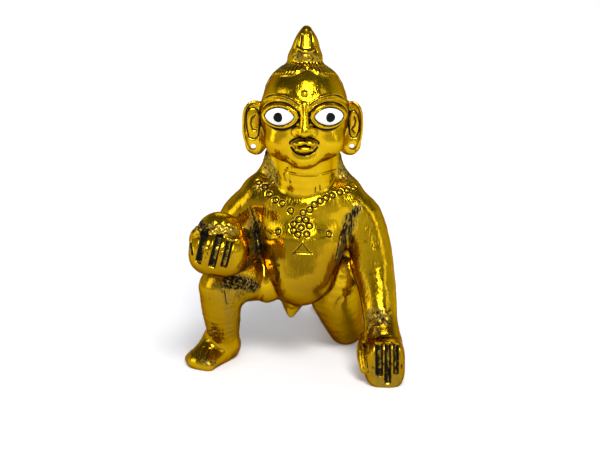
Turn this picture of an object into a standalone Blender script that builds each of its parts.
"""Solid-cast brass figure of a crawling child with a butter ball, and its two enamel eyes.

Metres, +Z up. The figure faces -Y, and +X is its own left. Its masses are given in parts of its own height.
"""

import math

import bmesh
import bpy
import numpy as np
from mathutils import Euler, Matrix, Vector

# Driving dimensions, in metres
IDOL_HEIGHT = 0.090
BALL_DIAMETER = 0.0120
HAIR_RISE = 0.0004
EYE_WIDTH = 0.0078
EYE_HEIGHT = 0.0043
EYE_SPACING = 0.0124
EYE_DOME = 0.0007
EYE_SEAT_DEPTH = 0.0012
EYE_CLEARANCE = 0.0003
EAR_HOLE_DIAMETER = 0.0015

# The figure's height holds 90 parts: every number in the tables below is in parts
PART = IDOL_HEIGHT / 90
HEAD_X = 1.1
EYE_LINE = 67.8
EAR_REACH = {-1: 12.9, 1: 12.1}
BALL_RADIUS = BALL_DIAMETER / 2 / PART

# How finely the casting is skinned, in parts and in triangles
SKIN_STEP = 0.42
CAST_TRIANGLES = 8300
LIMB_SIDES = 24
ROUTE_STEPS = 3
HOLE_SIDES = 16
EYE_SIDES = 28
EYE_RINGS = (1.0, 0.7, 0.35)
SHARP_ANGLE = 50
NEAR = 5.0
FAR = 20.0


def lump(centre, radii, turn=(0, 0, 0), power=2.0, melt=1.0):
    """An ellipsoid, boxier as power grows. melt is how far it flows into the masses before it."""
    spin = Euler([math.radians(angle) for angle in turn]).to_matrix()
    return {
        "centre": np.array(centre, float),
        "radii": np.array(radii, float),
        "spin": np.array(spin),
        "power": power,
        "melt": melt,
    }


def limb(stations, melt=1.0):
    """A round limb through stations of (x, y, z, radius), on one smooth curve."""
    return {"route": smooth_route(np.array(stations, float)), "melt": melt}


def smooth_route(stations):
    """Catmull-Rom points through the stations."""
    padded = np.vstack([2 * stations[0] - stations[1], stations, 2 * stations[-1] - stations[-2]])
    points = []
    for before, start, end, after in zip(padded, padded[1:], padded[2:], padded[3:]):
        for step in range(ROUTE_STEPS):
            t = step / ROUTE_STEPS
            points.append(
                0.5
                * (
                    2 * start
                    + (end - before) * t
                    + (2 * before - 5 * start + 4 * end - after) * t**2
                    + (3 * start - before - 3 * end + after) * t**3
                )
            )
    points.append(stations[-1])
    return np.array(points)


def lump_distance(points, mass):
    local = np.abs((points - mass["centre"]) @ mass["spin"] / mass["radii"])
    local = np.maximum(local, 1e-6)
    power = mass["power"]
    reach = (local**power).sum(1) ** (1 / power)
    slope = np.sqrt(((local ** (power - 1) / mass["radii"]) ** 2).sum(1)) * reach ** (1 - power)
    return (reach - 1) / slope


def limb_distance(points, mass):
    nearest = np.full(len(points), np.inf)
    for start, end in zip(mass["route"], mass["route"][1:]):
        along = end[:3] - start[:3]
        share = np.clip((points - start[:3]) @ along / (along @ along), 0, 1)
        gap = points - start[:3] - share[:, None] * along
        radius = start[3] + share * (end[3] - start[3])
        nearest = np.minimum(nearest, np.sqrt((gap**2).sum(1)) - radius)
    return nearest


def mass_distance(points, mass):
    return limb_distance(points, mass) if "route" in mass else lump_distance(points, mass)


def melted(first, second, reach):
    """The smaller of two distances, with a fillet where they are alike."""
    if reach <= 0:
        return np.minimum(first, second)
    share = np.clip(0.5 + 0.5 * (second - first) / reach, 0, 1)
    return second + (first - second) * share - reach * share * (1 - share)


def reach_of(mass):
    """A ball around the mass: its centre and radius."""
    if "route" in mass:
        spots = mass["route"][:, :3]
        centre = (spots.min(0) + spots.max(0)) / 2
        return centre, (np.linalg.norm(spots - centre, axis=1) + mass["route"][:, 3]).max()
    return mass["centre"], np.linalg.norm(mass["radii"]) if mass["power"] > 2 else mass["radii"].max()


def skin_distance(points, masses, cuts=()):
    """How far each point stands outside the figure's skin, in parts. It is only true near the skin."""
    distance = np.full(len(points), FAR)
    for sign, group in ((1, masses), (-1, cuts)):
        for mass in group:
            centre, radius = reach_of(mass)
            near = np.linalg.norm(points - centre, axis=1) < radius + NEAR
            value = mass_distance(points[near], mass)
            distance[near] = sign * melted(sign * distance[near], value, mass["melt"])
    return distance


def hair_rise(points):
    """The hair stands a little proud of the scalp, above and behind a slanted hairline."""
    behind = 0.81 * (points[:, 1] + 6.5) + 0.585 * (points[:, 2] - 78.5)
    shown = np.clip(behind / 0.6, 0, 1) * np.clip((points[:, 2] - 50) / 2, 0, 1)
    return HAIR_RISE / PART * shown


def mirrored(build):
    """The masses of build(side) for the figure's right, -1, and left, +1."""
    return [mass for side in (-1, 1) for mass in build(side)]


def torso():
    return [
        lump((1.2, 0.6, 40.4), (13.2, 9.4, 9.4), (6, 0, 0), 2.2),
        lump((0.7, -1.6, 33.2), (12.2, 10.6, 9.4), melt=2.5),
        lump((0.4, -4.4, 25.4), (9.0, 9.5, 9.0), (10, 0, 0), melt=4.0),
        lump((0.9, 5.6, 33.0), (13.2, 7.6, 13.5), (12, 0, 0), 2.2, melt=2.5),
        lump((1.0, 8.0, 23.4), (12.4, 8.4, 8.4), melt=3.0),
        *mirrored(lambda side: [lump((1.0 + 5.4 * side, 11.6, 21.4), (7.0, 6.6, 7.2), melt=1.6)]),
        lump((-8.4, 1.8, 44.0), (7.6, 6.0, 5.4), (0, 36, 0), melt=3.0),
        lump((9.8, 1.8, 43.8), (7.2, 6.0, 5.4), (0, -30, 0), melt=3.0),
    ]


def head():
    nape = [(7.6, 3.8, 55.0, 2.4), (8.6, 3.6, 52.0, 2.5), (10.4, 3.2, 49.0, 2.6), (12.8, 2.8, 46.6, 2.4)]
    return [
        lump((HEAD_X - 0.5, 3.4, 53.6), (9.9, 7.2, 8.8), power=2.2, melt=2.0),
        lump((HEAD_X + 0.1, 0.6, 67.3), (11.7, 12.0, 13.3), (-4, 0, 0), 2.06, melt=2.0),
        lump((HEAD_X, 1.4, 73.6), (8.0, 9.4, 6.4), melt=1.5),
        *mirrored(lambda side: [lump((HEAD_X + 5.2 * side, -5.4, 60.8), (5.2, 5.0, 5.0), melt=2.0)]),
        lump((HEAD_X, -8.4, 56.7), (3.8, 2.9, 2.8), melt=2.8),
        *mirrored(lambda side: [limb([(HEAD_X - 0.4 + x * side, y, z, r) for x, y, z, r in nape], melt=1.4)]),
        limb([(HEAD_X, 1.4, 46.0, 8.6), (HEAD_X, 0.0, 51.0, 7.6), (HEAD_X, 0.0, 57.0, 7.8)], melt=0.7),
    ]


def arms():
    right_arm = [
        (-11.4, 1.4, 42.4, 6.3),
        (-15.2, 1.4, 38.6, 6.3),
        (-17.4, 0.4, 34.2, 6.0),
        (-17.3, -3.2, 31.6, 6.4),
        (-18.2, -8.5, 31.6, 5.7),
        (-19.2, -14.0, 32.4, 5.0),
    ]
    left_arm = [
        (12.6, 0.8, 42.2, 6.2),
        (16.2, 0.0, 38.6, 6.1),
        (18.4, -2.0, 32.8, 5.8),
        (19.6, -4.6, 26.4, 5.5),
        (20.7, -8.0, 20.0, 4.9),
        (21.3, -11.6, 14.4, 4.5),
        (21.7, -14.8, 10.0, 4.9),
    ]
    return [limb(right_arm, melt=1.2), limb(left_arm, melt=1.2)]


def legs():
    right_thigh = [
        (-4.0, 8.0, 23.0, 7.4),
        (-9.6, 2.0, 23.0, 6.7),
        (-15.0, -4.0, 23.2, 6.3),
        (-20.4, -8.5, 22.6, 5.9),
    ]
    right_shin = [
        (-20.6, -8.4, 21.6, 6.0),
        (-21.0, -7.4, 17.4, 5.5),
        (-20.9, -5.4, 12.4, 4.9),
        (-20.8, -3.2, 8.0, 4.4),
        (-20.6, -2.0, 5.0, 4.3),
    ]
    left_thigh = [
        (7.6, 8.6, 23.2, 8.2),
        (8.8, 6.2, 18.5, 7.2),
        (10.2, 6.6, 13.5, 6.6),
        (11.8, 9.0, 8.9, 5.8),
        (12.9, 11.8, 5.4, 5.0),
    ]
    thigh_front = [
        (11.5, -1.2, 27.2, 1.6),
        (11.3, -0.5, 24.0, 4.2),
        (10.7, 0.4, 20.0, 5.3),
        (11.1, 3.0, 14.8, 5.6),
        (12.1, 7.4, 9.4, 5.1),
        (12.9, 11.4, 5.3, 4.9),
    ]
    left_shin = [
        (12.9, 12.0, 4.6, 4.9),
        (11.8, 18.0, 4.9, 4.8),
        (10.8, 25.0, 4.6, 4.3),
        (9.8, 31.5, 4.1, 3.6),
        (9.0, 36.0, 3.7, 3.2),
    ]
    return [
        limb(right_thigh, melt=1.0),
        lump((-7.6, -2.2, 22.4), (4.8, 6.4, 6.4), (0, 28, 0), melt=0.7),
        limb(right_shin, melt=1.6),
        limb(left_thigh, melt=1.0),
        limb(thigh_front, melt=1.6),
        limb(left_shin, melt=1.0),
        limb([(-1.6, -1.0, 18.6, 4.1), (-2.1, -1.6, 15.6, 2.6), (-2.4, -2.0, 12.9, 1.1)], melt=2.2),
        lump((-2.3, -4.2, 16.8), (1.1, 1.0, 1.7), melt=0.6),
    ]


def right_foot():
    """The foot stands flat and points ahead and outward. place() counts from its heel."""
    heel = np.array([-20.2, 1.8])
    ahead = np.array([-0.52, -0.854])
    aside = np.array([-0.854, 0.52])

    def place(forward, sideways, up, *rest):
        x, y = heel + ahead * forward + aside * sideways
        return (x, y, up, *rest)

    turn = math.degrees(math.atan2(ahead[1], ahead[0]))
    masses = [
        lump(place(0.6, -0.2, 3.0), (4.2, 3.9, 4.2), (0, 0, turn), melt=1.0),
        lump(place(6.8, 0.6, 1.7), (8.2, 4.7, 3.2), (0, 0, turn), 2.3, melt=1.8),
        limb([place(2.0, 0.0, 7.0, 4.0), place(5.4, 0.3, 4.8, 3.8), place(9.4, 0.6, 2.4, 3.1)], melt=1.8),
    ]
    toes = ((-2.8, 12.9, 1.75), (-0.6, 13.2, 1.35), (1.4, 12.8, 1.25), (3.2, 12.0, 1.2), (4.9, 10.9, 1.15))
    for sideways, reach, radius in toes:
        stations = [
            place(reach - 5.0, sideways * 0.9, 2.2, radius),
            place(reach - 2.0, sideways, 1.9, radius),
            place(reach, sideways, 1.2, radius),
        ]
        masses.append(limb(stations, 0.25))
    return masses


def left_foot():
    """The kneeling leg's foot lies on its instep, with the sole up and the toes pointing back."""
    masses = [
        lump((8.8, 37.4, 4.0), (3.2, 3.6, 3.7), melt=1.2),
        lump((8.2, 42.0, 2.2), (3.7, 6.2, 2.7), (6, 0, 4), 2.2, melt=1.2),
    ]
    toes = ((10.6, 47.6, 1.35), (8.9, 48.0, 1.05), (7.4, 47.8, 1.0), (6.0, 47.2, 0.95), (4.8, 46.3, 0.9))
    for x, reach, radius in toes:
        masses.append(limb([(x - 0.2, reach - 5.0, 2.0, radius), (x, reach - radius, 1.2, radius)], 0.25))
    return masses


def left_hand():
    """The hand stands on the ground with its fingers drawn down its front."""
    masses = [lump((21.8, -17.4, 5.2), (5.4, 6.2, 6.4), power=3.0, melt=1.4)]
    for x in (18.3, 20.8, 23.3, 25.7):
        fore = 0.07 * (x - 21.8) ** 2
        stations = [
            (x, -18.6, 10.8, 1.25),
            (x, -22.2 + fore, 9.2, 1.25),
            (x, -23.9 + fore, 4.6, 1.25),
            (x, -23.7 + fore, 0.8, 1.25),
        ]
        masses.append(limb(stations, melt=0.3))
    thumb = [(17.3, -13.6, 9.6, 1.9), (16.4, -17.4, 7.2, 1.6), (16.7, -20.6, 3.9, 1.3)]
    masses.append(limb(thumb, melt=0.5))
    return masses


def right_hand():
    """The palm under the butter ball, with four fingers up its front and the thumb on the outer side."""
    ball = np.array([-20.5, -17.6, 32.6 + BALL_RADIUS])
    masses = [
        lump(ball + (0.4, -0.4, -BALL_RADIUS + 1.2), (BALL_RADIUS + 1.1, BALL_RADIUS + 0.9, 5.2), melt=1.2),
        lump(ball, (BALL_RADIUS,) * 3, melt=0.1),
    ]
    finger = 1.4
    wrap = BALL_RADIUS + 0.55 * finger
    for x, low in ((-6.4, -36), (-3.2, -52), (0.0, -60), (3.2, -60)):
        stations = []
        for rise in np.linspace(low, 20, 5):
            slant = 0.018 * (rise + 25)
            flat = math.sqrt(max(wrap**2 - (0.72 * x) ** 2, 1.0))
            y = ball[1] - flat * math.cos(math.radians(rise)) - 0.9
            z = ball[2] - 1.4 + flat * math.sin(math.radians(rise)) * 1.1
            stations.append((ball[0] + x + slant, y, z, finger))
        masses.append(limb(stations, melt=0.3))
    thumb = [(-5.0, 4.5, -5.0, 2.0), (-6.2, 1.0, -2.2, 1.8), (-5.8, -2.6, 0.8, 1.5), (-4.4, -4.2, 2.6, 1.2)]
    masses.append(limb([(*(ball + station[:3]), station[3]) for station in thumb], melt=0.4))
    return masses


def face():
    """A plain, even icon face. Its nose ends a third of the way up from the chin to the hairline."""
    centre = EYE_SPACING / 2 / PART
    wide = EYE_WIDTH / 2 / PART
    high = EYE_HEIGHT / 2 / PART
    features = [
        limb([(HEAD_X, -10.6, 70.6, 0.9), (HEAD_X, -11.8, 67.4, 1.1), (HEAD_X, -12.7, 64.9, 1.4)], melt=1.0),
        lump((HEAD_X, -13.0, 64.1), (1.8, 1.5, 1.3), melt=0.6),
        lump((HEAD_X, -11.5, 59.5), (2.6, 1.4, 1.05), melt=0.3),
    ]
    for side in (-1, 1):
        x = HEAD_X + centre * side
        features += [
            lump((HEAD_X + 1.8 * side, -11.9, 63.9), (1.25, 1.3, 0.95), melt=0.4),
            lump((HEAD_X + 1.4 * side, -11.6, 61.2), (2.0, 1.3, 0.85), (0, 10 * side, 0), melt=0.3),
            lump((x, -9.1, EYE_LINE), (wide + 1.0, 2.1, high + 1.1), (0, 0, 26 * side), melt=1.0),
        ]
        brow = [(-1.2, 1.1, 0.45), (-0.4, 2.6, 0.55), (0.4, 2.5, 0.5), (1.15, 0.9, 0.35)]
        stations = [on_face(x + along * wide * side, EYE_LINE + high + up, r) for along, up, r in brow]
        features.append(limb(stations, melt=0.3))
    return features


def on_face(x, z, radius):
    """A station of this radius with its centre on the head's front."""
    masses = head()
    depth = np.array([[x, -16.0, z]])
    for _ in range(12):
        depth[0, 1] += skin_distance(depth, masses)[0]
    return (x, depth[0, 1], z, radius)


def ears():
    masses = []
    for side, out in EAR_REACH.items():
        x = HEAD_X + out * side
        turn = -14 * side
        masses += [
            lump((x, 1.4, 64.8), (3.6, 1.4, 5.4), (0, 3 * side, turn), 2.3, melt=0.5),
            lump((x - 0.3 * side, 1.2, 60.0), (3.2, 1.3, 4.2), (0, -12 * side, turn), 2.2, melt=0.5),
        ]
    return masses


def ear_hollows():
    """The bowls of the ears, cut out of their fronts."""
    cuts = []
    for side, out in EAR_REACH.items():
        bowl = [(1.2, 0.2, 68.0, 0.7), (-0.6, 0.0, 66.6, 0.8), (-0.8, 0.0, 63.0, 0.8), (0.8, 0.1, 61.4, 0.7)]
        cuts.append(limb([(HEAD_X + (out + x) * side, y, z, radius) for x, y, z, radius in bowl], melt=0.2))
    return cuts


def topknot():
    stations = [
        (1.3, 1.4, 79.0, 4.4),
        (1.4, 1.6, 81.6, 4.15),
        (1.5, 1.9, 83.3, 3.75),
        (1.6, 2.1, 85.2, 3.1),
        (1.6, 2.3, 87.0, 2.15),
        (1.7, 2.4, 88.3, 1.35),
    ]
    return [limb(stations, melt=0.9)]


def casting_masses():
    hands_and_feet = [*right_foot(), *left_foot(), *left_hand(), *right_hand()]
    return [*torso(), *head(), *arms(), *legs(), *hands_and_feet, *face(), *ears(), *topknot()]


def add_lump(mesh, mass):
    made = bmesh.ops.create_icosphere(mesh, subdivisions=4, radius=1.0)
    for vert in made["verts"]:
        direction = np.array(vert.co)
        direction /= (np.abs(direction) ** mass["power"]).sum() ** (1 / mass["power"])
        vert.co = mass["centre"] + mass["spin"] @ (direction * mass["radii"])


def add_limb(mesh, mass):
    """Rings square to the route, closed by round ends."""
    route = mass["route"]
    stations = []
    ends = ((route[0], route[1] - route[0]), (route[-1], route[-1] - route[-2]))
    start, end = ((spot[:3], line[:3] / np.linalg.norm(line[:3]), spot[3]) for spot, line in ends)
    for angle in (90, 60, 30):
        bend = math.radians(angle)
        stations.append((start[0] - start[1] * start[2] * math.sin(bend), start[2] * math.cos(bend)))
    stations += [(spot[:3], spot[3]) for spot in route]
    for angle in (30, 60, 90):
        bend = math.radians(angle)
        stations.append((end[0] + end[1] * end[2] * math.sin(bend), end[2] * math.cos(bend)))
    side = Vector(start[1]).orthogonal().normalized()
    rings = []
    for index, (centre, radius) in enumerate(stations):
        ahead = stations[min(index + 1, len(stations) - 1)][0] - stations[max(index - 1, 0)][0]
        ahead = Vector(ahead).normalized()
        side = (side - ahead * side.dot(ahead)).normalized()
        other = ahead.cross(side)
        ring = []
        for step in range(LIMB_SIDES):
            angle = 2 * math.pi * step / LIMB_SIDES
            offset = side * math.cos(angle) + other * math.sin(angle)
            ring.append(mesh.verts.new(Vector(centre) + offset * max(radius, 0.01)))
        rings.append(ring)
    for low, high in zip(rings, rings[1:]):
        for step in range(LIMB_SIDES):
            after = (step + 1) % LIMB_SIDES
            mesh.faces.new((low[step], low[after], high[after], high[step]))
    mesh.faces.new(list(reversed(rings[0])))
    mesh.faces.new(rings[-1])


def mesh_object(name, mesh):
    data = bpy.data.meshes.new(name)
    mesh.to_mesh(data)
    mesh.free()
    made = bpy.data.objects.new(name, data)
    bpy.context.scene.collection.objects.link(made)
    return made


def apply_modifiers(obj):
    """Puts the evaluated mesh in place of the object's own."""
    graph = bpy.context.evaluated_depsgraph_get()
    data = bpy.data.meshes.new_from_object(obj.evaluated_get(graph))
    obj.modifiers.clear()
    obj.data = data


def remesh(obj, step):
    made = obj.modifiers.new("One skin", "REMESH")
    made.mode = "VOXEL"
    made.voxel_size = step
    made.adaptivity = 0
    apply_modifiers(obj)


def settle(obj, masses, cuts, rounds):
    """Moves the skin's points onto the melted masses."""
    data = obj.data
    points = np.empty(len(data.vertices) * 3)
    normals = np.empty(len(data.vertices) * 3)
    for _ in range(rounds):
        data.vertices.foreach_get("co", points)
        data.vertices.foreach_get("normal", normals)
        places = points.reshape(-1, 3)
        distance = skin_distance(places, masses, cuts) - hair_rise(places)
        step = normals.reshape(-1, 3) * np.clip(distance, -1.0, 1.0)[:, None]
        data.vertices.foreach_set("co", (places - 0.9 * step).ravel())
        data.update()


def cast_skin(name, masses, cuts):
    mesh = bmesh.new()
    for mass in masses:
        if "route" in mass:
            add_limb(mesh, mass)
        else:
            add_lump(mesh, mass)
    obj = mesh_object(name, mesh)
    remesh(obj, SKIN_STEP)
    settle(obj, masses, cuts, 5)
    remesh(obj, SKIN_STEP)
    settle(obj, masses, cuts, 4)
    return obj


def facet(obj, triangles):
    made = obj.modifiers.new("Facets", "DECIMATE")
    made.ratio = triangles / (2 * len(obj.data.polygons))
    made.use_collapse_triangulate = True
    apply_modifiers(obj)


def carve(obj, cutter):
    """Takes the cutter's body out of the casting."""
    cutter.hide_render = True
    cutter.display_type = "WIRE"
    made = obj.modifiers.new("Carve", "BOOLEAN")
    made.operation = "DIFFERENCE"
    made.solver = "EXACT"
    made.object = cutter
    apply_modifiers(obj)
    bpy.data.objects.remove(cutter)


def ground_cutter():
    mesh = bmesh.new()
    place = Matrix.Translation((0, 0, -20)) @ Matrix.Diagonal((200, 200, 40, 1))
    bmesh.ops.create_cube(mesh, size=1.0, matrix=place)
    return mesh_object("Ground", mesh)


def ear_hole_cutter(side, out):
    """A bore through the ear lobe, front to back."""
    mesh = bmesh.new()
    size = EAR_HOLE_DIAMETER / 2 / PART
    place = Matrix.Translation((HEAD_X + (out + 0.6) * side, 1.2, 58.2))
    place = place @ Matrix.Rotation(math.pi / 2, 4, "X")
    bmesh.ops.create_cone(
        mesh,
        cap_ends=True,
        segments=HOLE_SIDES,
        radius1=size,
        radius2=size,
        depth=8,
        matrix=place,
    )
    return mesh_object("Ear hole", mesh)


def eye_frame(side):
    """The eye's place ahead of the face, and its directions outward, up and forward."""
    turn = math.radians(24 * side)
    forward = np.array([math.sin(turn), -math.cos(turn), 0.0])
    across = np.array([math.cos(turn), math.sin(turn), 0.0]) * side
    centre = np.array(on_face(HEAD_X + EYE_SPACING / 2 / PART * side, EYE_LINE, 0)[:3])
    return centre + forward * 4, across, np.array([0.0, 0.0, 1.0]), forward


def eye_disc(side, masses, grow, top, bottom):
    """An almond laid on the face: a closed body from bottom to top, heights over the skin by ring."""
    start, across, up, forward = eye_frame(side)
    wide = EYE_WIDTH / 2 / PART + grow
    high = EYE_HEIGHT / 2 / PART + grow
    sheets = []
    for heights in (top, bottom):
        rings = []
        for share, height in zip((*EYE_RINGS, 0.0), heights):
            angles = np.arange(EYE_SIDES) * 2 * math.pi / EYE_SIDES if share else np.zeros(1)
            rise = np.sin(angles) * np.abs(np.sin(angles)) ** 0.3
            spots = start + share * (np.outer(wide * np.cos(angles), across) + np.outer(high * rise, up))
            depth = np.zeros(len(spots))
            for _ in range(14):
                depth += skin_distance(spots - depth[:, None] * forward, masses)
            rings.append(spots + (height - depth)[:, None] * forward)
        sheets.append(rings)
    mesh = bmesh.new()
    made = [[[mesh.verts.new(spot) for spot in ring] for ring in rings] for rings in sheets]
    for rings in made:
        for outer, inner in zip(rings, rings[1:]):
            for step in range(EYE_SIDES):
                after = (step + 1) % EYE_SIDES
                if len(inner) == 1:
                    mesh.faces.new((outer[step], outer[after], inner[0]))
                else:
                    mesh.faces.new((outer[step], outer[after], inner[after], inner[step]))
    for step in range(EYE_SIDES):
        after = (step + 1) % EYE_SIDES
        mesh.faces.new((made[0][0][step], made[0][0][after], made[1][0][after], made[1][0][step]))
    bmesh.ops.recalc_face_normals(mesh, faces=mesh.faces)
    return mesh


def eye_body(name, side, masses):
    shares = np.array((*EYE_RINGS, 0.0))
    dome = (0.0001 + EYE_DOME * (1 - shares**2)) / PART
    floor = np.full(4, (EYE_CLEARANCE - EYE_SEAT_DEPTH) / PART)
    return mesh_object(name, eye_disc(side, masses, 0.0, dome, floor))


def eye_seat_cutter(side, masses):
    mouth = np.full(4, 3.0)
    floor = np.full(4, -EYE_SEAT_DEPTH / PART)
    return mesh_object("Seat", eye_disc(side, masses, EYE_CLEARANCE / PART, mouth, floor))


def dress(obj, name, color, metallic, roughness):
    made = bpy.data.materials.new(name)
    made.use_nodes = True
    shader = made.node_tree.nodes["Principled BSDF"]
    shader.inputs["Base Color"].default_value = (*color, 1)
    shader.inputs["Metallic"].default_value = metallic
    shader.inputs["Roughness"].default_value = roughness
    obj.data.materials.append(made)
    obj.data.shade_smooth()
    obj.data.set_sharp_from_angle(angle=math.radians(SHARP_ANGLE))


def clear_scene():
    for obj in list(bpy.data.objects):
        bpy.data.objects.remove(obj)


def to_metres(pieces):
    """Scales the pieces from parts, with the middle of their footprint over the origin."""
    spots = np.array([corner for piece in pieces for corner in piece.bound_box])
    middle = (spots.min(0) + spots.max(0)) / 2
    for piece in pieces:
        piece.data.transform(Matrix.Scale(PART, 4) @ Matrix.Translation((-middle[0], -middle[1], 0)))
        piece.data.update()


def main():
    clear_scene()
    masses = casting_masses()
    idol = cast_skin("idol", masses, ear_hollows())
    facet(idol, CAST_TRIANGLES)
    eyes = []
    for side, name in ((-1, "right_eye"), (1, "left_eye")):
        carve(idol, eye_seat_cutter(side, masses))
        eyes.append(eye_body(name, side, masses))
    for side, out in EAR_REACH.items():
        carve(idol, ear_hole_cutter(side, out))
    carve(idol, ground_cutter())
    to_metres([idol, *eyes])
    dress(idol, "Brass", (0.76, 0.53, 0.13), 1.0, 0.27)
    for eye in eyes:
        dress(eye, "White enamel", (0.85, 0.85, 0.82), 0.0, 0.15)


main()
